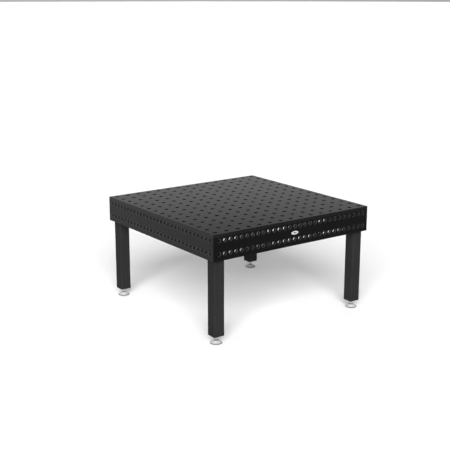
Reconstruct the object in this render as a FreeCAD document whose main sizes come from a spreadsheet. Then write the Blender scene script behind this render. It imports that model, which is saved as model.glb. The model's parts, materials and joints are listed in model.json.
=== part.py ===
"""Welding table, 1500 x 1500 x 850 mm, with a 28 mm hole system.

Millimetres.  +Z is up, Z = 0 is the floor, and the origin is on the floor under the
table's centre.  -Y is the front, where the badge is, and +X is to the right.

A five-sided box of thick plate (a top and four side walls) stands on four square legs.
Two angle ribs and six flat ribs stiffen the top from below.  Each leg ends in a levelling
foot: a threaded spindle with a lock nut, which stands on a ball in a chromed disc.
"""

import FreeCAD
import Part

import math
import os
import re

import Sketcher

V = FreeCAD.Vector

# Driving dimensions.  The word is the alias, and every sub-part's sizes refer to it.
SIZES = {
    # table box
    "table_side": 1500,
    "table_top": 850,
    "plate_thick": 25,
    "wall_drop": 200,
    "edge_round": 3,
    # hole system
    "hole_dia": 28,
    "hole_bevel": 2.5,
    "top_pitch": 100,
    "top_first": 50,
    "top_count": 15,
    "wall_pitch": 50,
    "wall_row_drop": 50,
    "wall_row_gap": 100,
    "wall_count": 29,
    "wall_rows": 2,
    # ribs: an unequal angle 160 x 80 x 12 and a flat bar 130 x 12
    "rib_offset": 250,
    "rib_depth": 160,
    "rib_flange": 80,
    "rib_thick": 12,
    "rib_root": 13,
    "cross_depth": 130,
    # legs
    "leg_inset": 27.5,
    "leg_side": 90,
    "leg_wall": 5,
    "leg_corner": 8,
    "leg_bottom": 62,
    "leg_top": 655,
    "flange_side": 115,
    "flange_thick": 12,
    "post_side": 60,
    "post_wall": 6,
    "post_corner": 8,
    "head_side": 180,
    "head_thick": 15,
    "head_gap": 1,
    "head_clear_dia": 32,
    # leg bolts, M12
    "bolt_dia": 12,
    "bolt_fit": 0.1,
    "bolt_long": 35,
    "bolt_flats": 18,
    "bolt_head": 7.5,
    "bolt_edge": 18,
    "bolt_gap": 70,
    "tap_depth": 18,
    "bolt_clear_dia": 13.5,
    "bolt_washer_dia": 24,
    "bolt_washer_thick": 2.5,
    # leg insert: a plate with a threaded bush
    "insert_thick": 12,
    "insert_gap": 0.5,
    "bush_dia": 42,
    "bush_depth": 40,
    # levelling foot, M24 x 3
    "spindle_dia": 24,
    "thread_fit": 0.16,
    "spindle_top": 170,
    "spindle_bevel": 2,
    "shoulder_gap": 0.3,
    "journal_dia": 14,
    "journal_fit": 0.1,
    "ball_dia": 28,
    "ball_fit": 0.1,
    "ball_rise": 20,
    "ball_top_cut": 10.5,
    "ball_foot_cut": 12,
    "journal_deep": 18,
    "disc_dia": 90,
    "disc_lift": 2,
    "disc_rim": 7,
    "disc_cone": 13,
    "cone_foot_dia": 84,
    "cone_head_dia": 40,
    "neck_dia": 35,
    "neck_rise": 28,
    "pad_dia": 80,
    "pad_thick": 6,
    # lock nut and washer
    "nut_flats": 36,
    "nut_high": 12,
    "nut_bevel_dia": 34.5,
    "washer_dia": 44,
    "washer_thick": 3,
    "stack_gap": 0.3,
    # small bevels and steps of the foot's turned pieces, and its cutters' overrun
    "small_bevel": 1,
    "socket_floor": 1,
    "cutter_over": 1,
    # badge
    "badge_wide": 74,
    "badge_high": 33,
    "badge_thick": 2,
    "badge_sunk": 1.5,
    "badge_drop": 100,
    "badge_fit": 0.5,
    "badge_edge": 0.4,
    "rivet_dia": 3,
    "rivet_head_dia": 5,
    "rivet_head": 0.3,
    "rivet_deep": 8,
    "rivet_gap": 50,
}

# Compass of the four legs: the sign of X and of Y at each corner.
CORNERS = {
    "front_left": (-1, -1),
    "front_right": (1, -1),
    "back_left": (-1, 1),
    "back_right": (1, 1),
}

doc = FreeCAD.newDocument("welding_table")
sheet = doc.addObject("Spreadsheet::Sheet", "Sizes")
for line, (word, number) in enumerate(SIZES.items(), start=1):
    sheet.set(f"A{line}", word)
    sheet.set(f"B{line}", str(number))
    sheet.setAlias(f"B{line}", word)
doc.recompute()

nodes = []

# Points closer than this are one point when edges are picked.
CLOSE = 0.01


# ---------------------------------------------------------------- helpers

def bound(text):
    """The formula with every alias written as the sheet's cell."""
    return re.sub(r"[a-z_]+", lambda m: f"Sizes.{m[0]}" if m[0] in SIZES else m[0], text)


def value(text):
    """The number that a formula of the sheet's aliases gives now."""
    return float(sheet.evalExpression(bound(text)))


def bind(thing, prop, text):
    thing.setExpression(prop, bound(text))


def new_body(name):
    body = doc.addObject("PartDesign::Body", name)
    body.Label = name
    nodes.append(body)
    return body


def place(thing, x="0", y="0", z="0", turn=None):
    """Put a sub-part where three formulas say, turned by a Rotation."""
    if turn:
        thing.Placement = FreeCAD.Placement(V(), turn)
    bind(thing, "Placement.Base.x", x)
    bind(thing, "Placement.Base.y", y)
    bind(thing, "Placement.Base.z", z)


def new_sketch(body, name, plane="XY_Plane", height=None):
    sketch = body.newObject("Sketcher::SketchObject", name)
    origin = next(item for item in body.Origin.OriginFeatures if item.Role == plane)
    sketch.AttachmentSupport = (origin, [""])
    sketch.MapMode = "FlatFace"
    if height:
        bind(sketch, "AttachmentOffset.Base.z", height)
    return sketch


def pin_point(sketch, edge, end, x, y, name):
    """Hold an edge's end, or a circle's centre, at two formulas from the sketch's origin."""
    for kind, text, tail in (("DistanceX", x, "x"), ("DistanceY", y, "y")):
        length = value(text)
        index = sketch.addConstraint(Sketcher.Constraint(kind, -1, 1, edge, end, length))
        sketch.renameConstraint(index, f"{name}_{tail}")
        bind(sketch, f"Constraints.{name}_{tail}", text)


def draw_outline(sketch, points):
    """A closed outline of straight edges through points given as pairs of formulas."""
    spots = [V(value(x), value(y), 0) for x, y in points]
    count = len(points)
    first = sketch.GeometryCount
    for index in range(count):
        edge = Part.LineSegment(spots[index], spots[(index + 1) % count])
        sketch.addGeometry(edge, False)
    for index in range(count):
        here = first + index
        after = first + (index + 1) % count
        sketch.addConstraint(Sketcher.Constraint("Coincident", here, 2, after, 1))
    for index, (x, y) in enumerate(points):
        pin_point(sketch, first + index, 1, x, y, f"p{first + index}")


def draw_box(sketch, wide, high):
    """A rectangle of formulas wide and high, centred on the sketch's origin."""
    west = f"-({wide}) / 2"
    east = f"({wide}) / 2"
    south = f"-({high}) / 2"
    north = f"({high}) / 2"
    draw_outline(sketch, [(west, south), (east, south), (east, north), (west, north)])


def draw_circle(sketch, x, y, dia):
    """A circle whose centre and diameter are formulas."""
    centre = V(value(x), value(y), 0)
    index = sketch.GeometryCount
    sketch.addGeometry(Part.Circle(centre, V(0, 0, 1), value(dia) / 2), False)
    pin_point(sketch, index, 3, x, y, f"c{index}")
    size = sketch.addConstraint(Sketcher.Constraint("Diameter", index, value(dia)))
    sketch.renameConstraint(size, f"d{index}")
    bind(sketch, f"Constraints.d{index}", dia)


def draw_ellipse(sketch, wide, high):
    """An ellipse about the sketch's origin, with its long axis along X."""
    half_wide = value(wide) / 2
    half_high = value(high) / 2
    index = sketch.GeometryCount
    sketch.addGeometry(Part.Ellipse(V(half_wide, 0, 0), V(0, half_high, 0), V()), False)
    sketch.exposeInternalGeometry(index)
    sketch.addConstraint(Sketcher.Constraint("Coincident", index, 3, -1, 1))
    pin_point(sketch, index + 1, 1, f"({wide}) / 2", "0", "tip")
    rise = sketch.addConstraint(Sketcher.Constraint("DistanceY", -1, 1, index + 2, 1, half_high))
    sketch.renameConstraint(rise, "crown")
    bind(sketch, "Constraints.crown", f"({high}) / 2")


def pad(body, sketch, length, name="pad"):
    feature = body.newObject("PartDesign::Pad", name)
    feature.Profile = sketch
    bind(feature, "Length", length)
    doc.recompute()
    return feature


def pocket(body, sketch, length=None, name="pocket", upward=False):
    """Cut a sketch's shape to a depth, or right through, and make sure it cut."""
    before = body.Shape.Volume
    feature = body.newObject("PartDesign::Pocket", name)
    feature.Profile = sketch
    feature.Reversed = upward
    if length:
        bind(feature, "Length", length)
    else:
        feature.Type = "ThroughAll"
        feature.Midplane = True
    doc.recompute()
    if not body.Shape.Volume < before:
        raise RuntimeError(f"{body.Label}: {name} cuts nothing")
    return feature


def revolve(body, sketch, name="turned"):
    """Turn a profile drawn right of the sketch's vertical axis once around it."""
    feature = body.newObject("PartDesign::Revolution", name)
    feature.Profile = sketch
    feature.ReferenceAxis = (sketch, ["V_Axis"])
    feature.Angle = 360
    doc.recompute()
    return feature


def groove(body, sketch, name="turned_out"):
    """Cut away what a profile sweeps around the sketch's vertical axis."""
    before = body.Shape.Volume
    feature = body.newObject("PartDesign::Groove", name)
    feature.Profile = sketch
    feature.ReferenceAxis = (sketch, ["V_Axis"])
    feature.Angle = 360
    doc.recompute()
    if not body.Shape.Volume < before:
        raise RuntimeError(f"{body.Label}: {name} cuts nothing")
    return feature


def round_edges(body, feature, keep, radius, name="rounding"):
    """Round the edges that keep(start, end) picks."""
    names = []
    for index, edge in enumerate(feature.Shape.Edges, start=1):
        if keep(edge.Vertexes[0].Point, edge.Vertexes[-1].Point):
            names.append(f"Edge{index}")
    dressing = body.newObject("PartDesign::Fillet", name)
    dressing.Base = (feature, names)
    bind(dressing, "Radius", radius)
    doc.recompute()
    return dressing


def hole_grid(body, thick, columns, rows):
    """A grid of through holes with a bevel at both mouths, patterned from one hole.

    columns and rows are (first, pitch, count) formulas in the plate's own X and Y.
    The plate lies on its XY plane and is as thick as the formula says.
    """
    first_x, pitch_x, count_x = columns
    first_y, pitch_y, count_y = rows
    mouths = (("top", thick, False), ("foot", "0", True))
    cuts = []
    for mouth, height, upward in mouths:
        sketch = new_sketch(body, f"hole_{mouth}_sketch", height=height)
        draw_circle(sketch, first_x, first_y, "hole_dia")
        doc.recompute()
        cut = body.newObject("PartDesign::Hole", f"hole_{mouth}")
        cut.Profile = sketch
        doc.recompute()
        cut.DepthType = "ThroughAll"
        cut.Reversed = upward
        bind(cut, "Diameter", "hole_dia")
        cut.HoleCutType = "Countersink"
        bind(cut, "HoleCutDiameter", "hole_dia + 2 * hole_bevel")
        cut.HoleCutCountersinkAngle = 90
        doc.recompute()
        cuts.append(cut)
    grid = body.newObject("PartDesign::LinearPattern", "hole_grid")
    grid.Originals = cuts
    grid.Direction = (cuts[0].Profile[0], ["H_Axis"])
    bind(grid, "Length", f"({pitch_x}) * ({count_x} - 1)")
    bind(grid, "Occurrences", count_x)
    grid.Direction2 = (cuts[0].Profile[0], ["V_Axis"])
    bind(grid, "Length2", f"({pitch_y}) * ({count_y} - 1)")
    bind(grid, "Occurrences2", count_y)
    body.Tip = grid
    doc.recompute()
    return grid


def polygon_points(flats, sides=6):
    """Corners of a regular polygon that is the formula wide across its flats."""
    across = f"({flats}) / 2 / cos({180 / sides})"
    points = []
    for index in range(sides):
        angle = 360 * index / sides
        points.append((f"{across} * cos({angle})", f"{across} * sin({angle})"))
    return points


# ---------------------------------------------------------------- table box

def bolt_spots():
    """Formulas for a leg's four bolts, out from the table's centre, for the +X +Y corner."""
    near = "table_side / 2 - plate_thick - head_gap - head_side + bolt_edge"
    middle = f"{near} + bolt_gap"
    far = f"{near} + 2 * bolt_gap - head_gap"
    return [(near, far), (near, middle), (middle, near), (far, near)]


def make_top_plate():
    body = new_body("top_plate")
    place(body, z="table_top - plate_thick")
    outline = new_sketch(body, "outline")
    draw_box(outline, "table_side", "table_side")
    slab = pad(body, outline, "plate_thick", "slab")
    upper = value("plate_thick") - CLOSE
    round_edges(body, slab, lambda start, end: max(start.z, end.z) > upper, "edge_round")
    first = "top_first - table_side / 2"
    spread = (first, "top_pitch", "top_count")
    hole_grid(body, "plate_thick", spread, spread)
    taps = new_sketch(body, "tapped_holes_sketch")
    for side_x, side_y in CORNERS.values():
        for x, y in bolt_spots():
            draw_circle(taps, f"{side_x} * ({x})", f"{side_y} * ({y})", "bolt_dia + bolt_fit")
    pocket(body, taps, "tap_depth", "tapped_holes", upward=True)


def make_side_wall(name, covers_corners, x, y, turn, badge=False):
    """One wall.  It lies on its own XY plane, with its outer face up and its own Y upright."""
    body = new_body(name)
    long = "table_side" if covers_corners else "table_side - 2 * plate_thick"
    place(body, x, y, "table_top - plate_thick - (wall_drop - plate_thick) / 2", turn)
    outline = new_sketch(body, "outline")
    draw_box(outline, long, "wall_drop - plate_thick")
    slab = pad(body, outline, "plate_thick", "slab")
    low = value("plate_thick - wall_drop") / 2
    face = value("plate_thick")

    def open_edge(start, end):
        """The outer face's lower edge, and its two ends at the table's corners."""
        outer = min(start.z, end.z) > face - CLOSE
        ends = covers_corners and abs(start.x - end.x) < CLOSE
        return outer and (ends or max(start.y, end.y) < low + CLOSE)

    round_edges(body, slab, open_edge, "edge_round")
    first_x = "-wall_pitch * (wall_count - 1) / 2"
    row = "(wall_drop + plate_thick) / 2"
    rows = (f"{row} - wall_row_drop - wall_row_gap", "wall_row_gap", "wall_rows")
    hole_grid(body, "plate_thick", (first_x, "wall_pitch", "wall_count"), rows)
    if badge:
        seat = new_sketch(body, "badge_seat_sketch", height="plate_thick")
        bind(seat, "AttachmentOffset.Base.y", f"{row} - badge_drop")
        draw_ellipse(seat, "badge_wide + badge_fit", "badge_high + badge_fit")
        pocket(body, seat, "badge_sunk", "badge_seat")
        pins = new_sketch(body, "rivet_holes_sketch", height="plate_thick - badge_sunk")
        for side in (-1, 1):
            draw_circle(pins, f"{side} * rivet_gap / 2", f"{row} - badge_drop", "rivet_dia")
        pocket(body, pins, "rivet_deep", "rivet_holes")


def facing(out_x, out_y):
    """The turn that stands a flat plate upright with its face looking along out."""
    return FreeCAD.Rotation(V(-out_y, out_x, 0), V(0, 0, 1), V(out_x, out_y, 0), "ZXY")


def make_walls():
    """Front and back walls run the full length, and the left and right ones fit between."""
    reach = "table_side / 2 - plate_thick"
    make_side_wall("side_wall_front", True, "0", f"-({reach})", facing(0, -1), badge=True)
    make_side_wall("side_wall_back", True, "0", reach, facing(0, 1))
    make_side_wall("side_wall_left", False, f"-({reach})", "0", facing(-1, 0))
    make_side_wall("side_wall_right", False, reach, "0", facing(1, 0))


def make_long_rib(name, x):
    """An angle bar on edge under the top, from front wall to back wall.

    Its web hangs from the plate and its flange points to +X at the lower edge.
    """
    body = new_body(name)
    upright = FreeCAD.Rotation(V(1, 0, 0), V(0, 0, 1), V(0, -1, 0), "ZXY")
    place(body, x, "table_side / 2 - plate_thick", "table_top - plate_thick - rib_depth", upright)
    section = new_sketch(body, "section")
    west = "-rib_thick / 2"
    east = "rib_thick / 2"
    toe = "rib_flange - rib_thick / 2"
    draw_outline(section, [(west, "0"), (toe, "0"), (toe, "rib_thick"), (east, "rib_thick"),
                           (east, "rib_depth"), (west, "rib_depth")])
    bar = pad(body, section, "table_side - 2 * plate_thick", "bar")
    inside = value("rib_thick / 2")
    crook = value("rib_thick")

    def root_edge(start, end):
        return all(abs(p.x - inside) + abs(p.y - crook) < CLOSE for p in (start, end))

    round_edges(body, bar, root_edge, "rib_root", "root_radius")


def make_cross_rib(name, west, east, y):
    """A flat bar on edge between two webs, or between a web and a wall."""
    bar = doc.addObject("Part::Box", name)
    bar.Label = name
    bind(bar, "Length", f"({east}) - ({west})")
    bind(bar, "Width", "rib_thick")
    bind(bar, "Height", "cross_depth")
    place(bar, west, f"{y} - rib_thick / 2", "table_top - plate_thick - cross_depth")
    nodes.append(bar)


def make_ribs():
    for side, sign in (("left", -1), ("right", 1)):
        make_long_rib(f"long_rib_{side}", f"{sign} * rib_offset")
    wall = "table_side / 2 - plate_thick"
    web = "rib_thick / 2"
    spans = {
        "left": (f"-({wall})", f"-rib_offset - {web}"),
        "middle": (f"-rib_offset + {web}", f"rib_offset - {web}"),
        "right": (f"rib_offset + {web}", wall),
    }
    for row, sign in (("front", -1), ("back", 1)):
        for part, (west, east) in spans.items():
            make_cross_rib(f"cross_rib_{row}_{part}", west, east, f"{sign} * rib_offset")


# ---------------------------------------------------------------- legs

LEG_REACH = "table_side / 2 - leg_inset - leg_side / 2"
FLANGE_REACH = "table_side / 2 - leg_inset - flange_side / 2"
POST_REACH = "table_side / 2 - top_first - top_pitch / 2"
HEAD_REACH = "table_side / 2 - plate_thick - head_gap - head_side / 2"


def square_tube(body, side, wall, corner, long, foot):
    """A square tube with rounded corners, whose lower end is at the height foot."""
    outline = new_sketch(body, "outline", height=foot)
    draw_box(outline, side, side)
    bar = pad(body, outline, long, "bar")

    def upright(start, end):
        return abs(start.z - end.z) > 1

    rounded = round_edges(body, bar, upright, corner, "outer_corners")
    before = rounded.Shape.Volume
    hollow = new_sketch(body, "hollow_sketch", height=foot)
    draw_box(hollow, f"{side} - 2 * {wall}", f"{side} - 2 * {wall}")
    pocket(body, hollow, long, "hollow", upward=True)
    half = value(f"{side} / 2 - {wall}") + CLOSE

    def inner_upright(start, end):
        return upright(start, end) and max(abs(start.x), abs(start.y)) < half

    round_edges(body, body.Tip, inner_upright, f"{corner} - {wall}", "inner_corners")
    if body.Shape.Volume > before / 2:
        raise RuntimeError(f"{body.Label} is not hollow")


def make_leg_tube(name, x, y):
    body = new_body(name)
    place(body, x, y, "leg_bottom")
    square_tube(body, "leg_side", "leg_wall", "leg_corner", "leg_top - leg_bottom", "0")


def make_leg_post(name, side_x, side_y):
    """The flange on a leg tube, and the post that stands on it between four system holes.

    The post is narrow and set in, so that bolts still go through the walls' end holes.
    """
    body = new_body(name)
    place(body, f"{side_x} * ({POST_REACH})", f"{side_y} * ({POST_REACH})", "leg_top")
    long = "table_top - plate_thick - head_thick - leg_top - flange_thick"
    square_tube(body, "post_side", "post_wall", "post_corner", long, "flange_thick")
    flange = new_sketch(body, "flange_sketch")
    shift = f"({FLANGE_REACH} - ({POST_REACH}))"
    bind(flange, "AttachmentOffset.Base.x", f"{side_x} * {shift}")
    bind(flange, "AttachmentOffset.Base.y", f"{side_y} * {shift}")
    draw_box(flange, "flange_side", "flange_side")
    pad(body, flange, "flange_thick", "flange")


def make_head_plate(name, side_x, side_y):
    """The plate that bolts a leg to the top, cleared around four system holes."""
    body = new_body(name)
    centre_x = f"{side_x} * ({HEAD_REACH})"
    centre_y = f"{side_y} * ({HEAD_REACH})"
    place(body, centre_x, centre_y, "table_top - plate_thick - head_thick")
    outline = new_sketch(body, "outline")
    draw_box(outline, "head_side", "head_side")
    pad(body, outline, "head_thick", "slab")
    holes = new_sketch(body, "bolt_holes_sketch")
    for x, y in bolt_spots():
        draw_circle(holes, f"{side_x} * ({x}) - {centre_x}", f"{side_y} * ({y}) - {centre_y}",
                    "bolt_clear_dia")
    pocket(body, holes, "head_thick", "bolt_holes", upward=True)
    clear = new_sketch(body, "system_holes_sketch")
    outer = "table_side / 2 - top_first"
    for x in (outer, f"{outer} - top_pitch"):
        for y in (outer, f"{outer} - top_pitch"):
            draw_circle(clear, f"{side_x} * ({x}) - {centre_x}", f"{side_y} * ({y}) - {centre_y}",
                        "head_clear_dia")
    pocket(body, clear, "head_thick", "system_holes", upward=True)


def make_leg_insert(name, x, y):
    """The plate welded into a leg's foot, with the threaded bush above it."""
    body = new_body(name)
    place(body, x, y, "leg_bottom")
    outline = new_sketch(body, "outline")
    inner = "leg_side - 2 * leg_wall - insert_gap"
    draw_box(outline, inner, inner)
    slab = pad(body, outline, "insert_thick", "slab")

    def upright(start, end):
        return abs(start.z - end.z) > 1

    round_edges(body, slab, upright, "leg_corner - leg_wall", "corners")
    ring = new_sketch(body, "bush_sketch", height="insert_thick")
    draw_circle(ring, "0", "0", "bush_dia")
    pad(body, ring, "bush_depth - insert_thick", "bush")
    thread = new_sketch(body, "thread_sketch")
    draw_circle(thread, "0", "0", "spindle_dia + thread_fit")
    pocket(body, thread, "bush_depth", "thread", upward=True)


def bolt_group(name, wide, high, drop, hexagon, shank):
    """The same fastener part at all sixteen places, as one group of separate solids."""
    pieces = []
    for corner, (side_x, side_y) in CORNERS.items():
        for number, (x, y) in enumerate(bolt_spots(), start=1):
            pieces.append(make_fastener(f"{name}_{corner}_{number}", f"{side_x} * ({x})",
                                        f"{side_y} * ({y})", wide, high, drop, hexagon, shank))
    group = doc.addObject("Part::Compound", name)
    group.Label = name
    group.Links = pieces
    nodes.append(group)


def make_fastener(name, x, y, wide, high, drop, hexagon, shank):
    """A bolt with a hexagon head, or a washer: drop is how far its foot is under the plate."""
    kind = "Part::Prism" if hexagon else "Part::Cylinder"
    head = doc.addObject(kind, f"{name}_head")
    if hexagon:
        head.Polygon = 6
        bind(head, "Circumradius", f"({wide}) / 2 / cos(30)")
    else:
        bind(head, "Radius", f"({wide}) / 2")
    bind(head, "Height", high)
    stem = doc.addObject("Part::Cylinder", f"{name}_stem")
    bind(stem, "Radius", "bolt_dia / 2" if shank else "bolt_clear_dia / 2")
    bind(stem, "Height", shank if shank else high)
    place(stem, z=high if shank else "0")
    joined = doc.addObject("Part::Fuse" if shank else "Part::Cut", name)
    joined.Base = head
    joined.Tool = stem
    place(joined, x, y, f"table_top - plate_thick - head_thick - ({drop})")
    return joined


def make_legs():
    for corner, (side_x, side_y) in CORNERS.items():
        x = f"{side_x} * ({LEG_REACH})"
        y = f"{side_y} * ({LEG_REACH})"
        make_leg_tube(f"leg_tube_{corner}", x, y)
        make_leg_post(f"leg_post_{corner}", side_x, side_y)
        make_head_plate(f"leg_head_plate_{corner}", side_x, side_y)
        make_leg_insert(f"leg_insert_{corner}", x, y)
        make_foot(corner, x, y)
    bolt_group("leg_bolts", "bolt_flats", "bolt_head", "bolt_washer_thick + bolt_head",
               True, "bolt_long")
    bolt_group("leg_bolt_washers", "bolt_washer_dia", "bolt_washer_thick", "bolt_washer_thick",
               False, None)


# ---------------------------------------------------------------- levelling feet

def turned_part(name, x, y, z, profile):
    """A turned piece: its half-section is given as (radius, height) formulas."""
    body = new_body(name)
    place(body, x, y, z)
    section = new_sketch(body, "half_section", "XZ_Plane")
    draw_outline(section, profile)
    revolve(body, section)
    return body


def make_spindle(name, x, y):
    """M24 spindle, threaded to its top, with a journal that turns in the ball."""
    seat = "ball_top_cut + shoulder_gap"
    foot = "ball_top_cut - journal_deep"
    turned_part(name, x, y, "ball_rise", [
        ("0", foot),
        ("journal_dia / 2", foot),
        ("journal_dia / 2", seat),
        ("spindle_dia / 2 - small_bevel", seat),
        ("spindle_dia / 2", f"{seat} + small_bevel"),
        ("spindle_dia / 2", "spindle_top - ball_rise - spindle_bevel"),
        ("spindle_dia / 2 - spindle_bevel", "spindle_top - ball_rise"),
        ("0", "spindle_top - ball_rise"),
    ])


def make_ball(name, x, y):
    """The ball, cut flat above and below, with a blind bore for the spindle's journal."""
    body = new_body(name)
    place(body, x, y, "ball_rise")
    section = new_sketch(body, "half_section", "XZ_Plane")
    draw_ball_section(section)
    revolve(body, section)
    bore = new_sketch(body, "bore_sketch", height="ball_top_cut")
    draw_circle(bore, "0", "0", "journal_dia + journal_fit")
    pocket(body, bore, "journal_deep + shoulder_gap", "bore")


def draw_ball_section(section):
    """Half of a disc of ball_dia, cut at ball_top_cut above and ball_foot_cut below."""
    radius = value("ball_dia / 2")
    high = value("ball_top_cut")
    low = -value("ball_foot_cut")
    upper = math.asin(high / radius)
    lower = math.asin(low / radius)
    arc = Part.ArcOfCircle(Part.Circle(V(), V(0, 0, 1), radius), lower, upper)
    top_wide = radius * math.cos(upper)
    low_wide = radius * math.cos(lower)
    section.addGeometry(arc, False)
    section.addGeometry(Part.LineSegment(V(top_wide, high, 0), V(0, high, 0)), False)
    section.addGeometry(Part.LineSegment(V(0, high, 0), V(0, low, 0)), False)
    section.addGeometry(Part.LineSegment(V(0, low, 0), V(low_wide, low, 0)), False)
    joins = [(0, 2, 1, 1), (1, 2, 2, 1), (2, 2, 3, 1), (3, 2, 0, 1)]
    for join in joins:
        section.addConstraint(Sketcher.Constraint("Coincident", *join))
    section.addConstraint(Sketcher.Constraint("Coincident", 0, 3, -1, 1))
    section.addConstraint(Sketcher.Constraint("Horizontal", 1))
    section.addConstraint(Sketcher.Constraint("Horizontal", 3))
    section.addConstraint(Sketcher.Constraint("PointOnObject", 2, 1, -2))
    section.addConstraint(Sketcher.Constraint("PointOnObject", 2, 2, -2))
    sizes = (
        ("reach", Sketcher.Constraint("Radius", 0, radius), "ball_dia / 2"),
        ("crown", Sketcher.Constraint("DistanceY", -1, 1, 2, 1, high), "ball_top_cut"),
        ("base", Sketcher.Constraint("DistanceY", 2, 2, -1, 1, -low), "ball_foot_cut"),
    )
    for name, constraint, text in sizes:
        index = section.addConstraint(constraint)
        section.renameConstraint(index, name)
        bind(section, f"Constraints.{name}", text)


def make_disc(name, x, y):
    """The foot's disc: a flat rim, a cone, a neck, and a ball socket open at the top."""
    body = turned_part(name, x, y, "0", [
        ("0", "disc_lift"),
        ("disc_dia / 2", "disc_lift"),
        ("disc_dia / 2", "disc_lift + disc_rim"),
        ("cone_foot_dia / 2", "disc_lift + disc_rim + small_bevel"),
        ("cone_head_dia / 2", "disc_lift + disc_rim + disc_cone"),
        ("neck_dia / 2", "disc_lift + disc_rim + disc_cone + small_bevel"),
        ("neck_dia / 2", "neck_rise"),
        ("0", "neck_rise"),
    ])
    seat = new_sketch(body, "pad_seat_sketch", height="disc_lift")
    draw_circle(seat, "0", "0", "pad_dia")
    pocket(body, seat, "pad_thick - disc_lift", "pad_seat", upward=True)
    socket = new_sketch(body, "socket_sketch", "XZ_Plane")
    draw_socket_section(socket)
    groove(body, socket, "socket")


def draw_socket_section(section):
    """Half a disc about the ball's centre, closed off flat just above the pad's seat."""
    radius = value("(ball_dia + ball_fit) / 2")
    rise = value("ball_rise")
    low = value("pad_thick + socket_floor")
    lower = math.asin((low - rise) / radius)
    arc = Part.ArcOfCircle(Part.Circle(V(0, rise, 0), V(0, 0, 1), radius), lower, math.pi / 2)
    section.addGeometry(arc, False)
    low_wide = radius * math.cos(lower)
    section.addGeometry(Part.LineSegment(V(0, rise + radius, 0), V(0, low, 0)), False)
    section.addGeometry(Part.LineSegment(V(0, low, 0), V(low_wide, low, 0)), False)
    joins = [(0, 2, 1, 1), (1, 2, 2, 1), (2, 2, 0, 1)]
    for join in joins:
        section.addConstraint(Sketcher.Constraint("Coincident", *join))
    section.addConstraint(Sketcher.Constraint("PointOnObject", 0, 3, -2))
    section.addConstraint(Sketcher.Constraint("PointOnObject", 1, 1, -2))
    section.addConstraint(Sketcher.Constraint("PointOnObject", 1, 2, -2))
    section.addConstraint(Sketcher.Constraint("Horizontal", 2))
    sizes = (
        ("reach", Sketcher.Constraint("Radius", 0, radius), "(ball_dia + ball_fit) / 2"),
        ("rise", Sketcher.Constraint("DistanceY", -1, 1, 0, 3, rise), "ball_rise"),
        ("base", Sketcher.Constraint("DistanceY", -1, 1, 1, 2, low), "pad_thick + socket_floor"),
    )
    for name, constraint, text in sizes:
        index = section.addConstraint(constraint)
        section.renameConstraint(index, name)
        bind(section, f"Constraints.{name}", text)


def make_nut(name, x, y):
    """Thin hexagon nut, bevelled at both ends, on the spindle under the leg."""
    body = new_body(name)
    foot = "leg_bottom - washer_thick - nut_high - 2 * stack_gap"
    place(body, x, y, foot)
    outline = new_sketch(body, "outline")
    draw_outline(outline, polygon_points("nut_flats"))
    pad(body, outline, "nut_high", "hexagon")
    corner = "nut_flats / 2 / cos(30) + cutter_over"
    slope = f"({corner} - nut_bevel_dia / 2) * tan(30)"
    cones = new_sketch(body, "bevel_sketch", "XZ_Plane")
    draw_outline(cones, [("nut_bevel_dia / 2", "0"), (corner, "0"), (corner, slope)])
    draw_outline(cones, [("nut_bevel_dia / 2", "nut_high"), (corner, f"nut_high - {slope}"),
                         (corner, "nut_high")])
    groove(body, cones, "bevels")
    thread = new_sketch(body, "thread_sketch")
    draw_circle(thread, "0", "0", "spindle_dia + thread_fit")
    pocket(body, thread, "nut_high", "thread", upward=True)


def make_washer(name, x, y):
    z = "leg_bottom - washer_thick - stack_gap"
    hole = "spindle_dia / 2 + stack_gap"
    turned_part(name, x, y, z, [
        (hole, "0"),
        ("washer_dia / 2", "0"),
        ("washer_dia / 2", "washer_thick"),
        (hole, "washer_thick"),
    ])


def make_pad(name, x, y):
    """The rubber pad under the disc.  It stands proud of the disc, on the floor."""
    turned_part(name, x, y, "0", [
        ("0", "0"),
        ("pad_dia / 2 - small_bevel", "0"),
        ("pad_dia / 2", "small_bevel"),
        ("pad_dia / 2", "pad_thick"),
        ("0", "pad_thick"),
    ])


def make_foot(corner, x, y):
    make_spindle(f"foot_spindle_{corner}", x, y)
    make_nut(f"lock_nut_{corner}", x, y)
    make_washer(f"lock_washer_{corner}", x, y)
    make_ball(f"swivel_ball_{corner}", x, y)
    make_disc(f"foot_disc_{corner}", x, y)
    make_pad(f"foot_pad_{corner}", x, y)


# ---------------------------------------------------------------- badge

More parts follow.
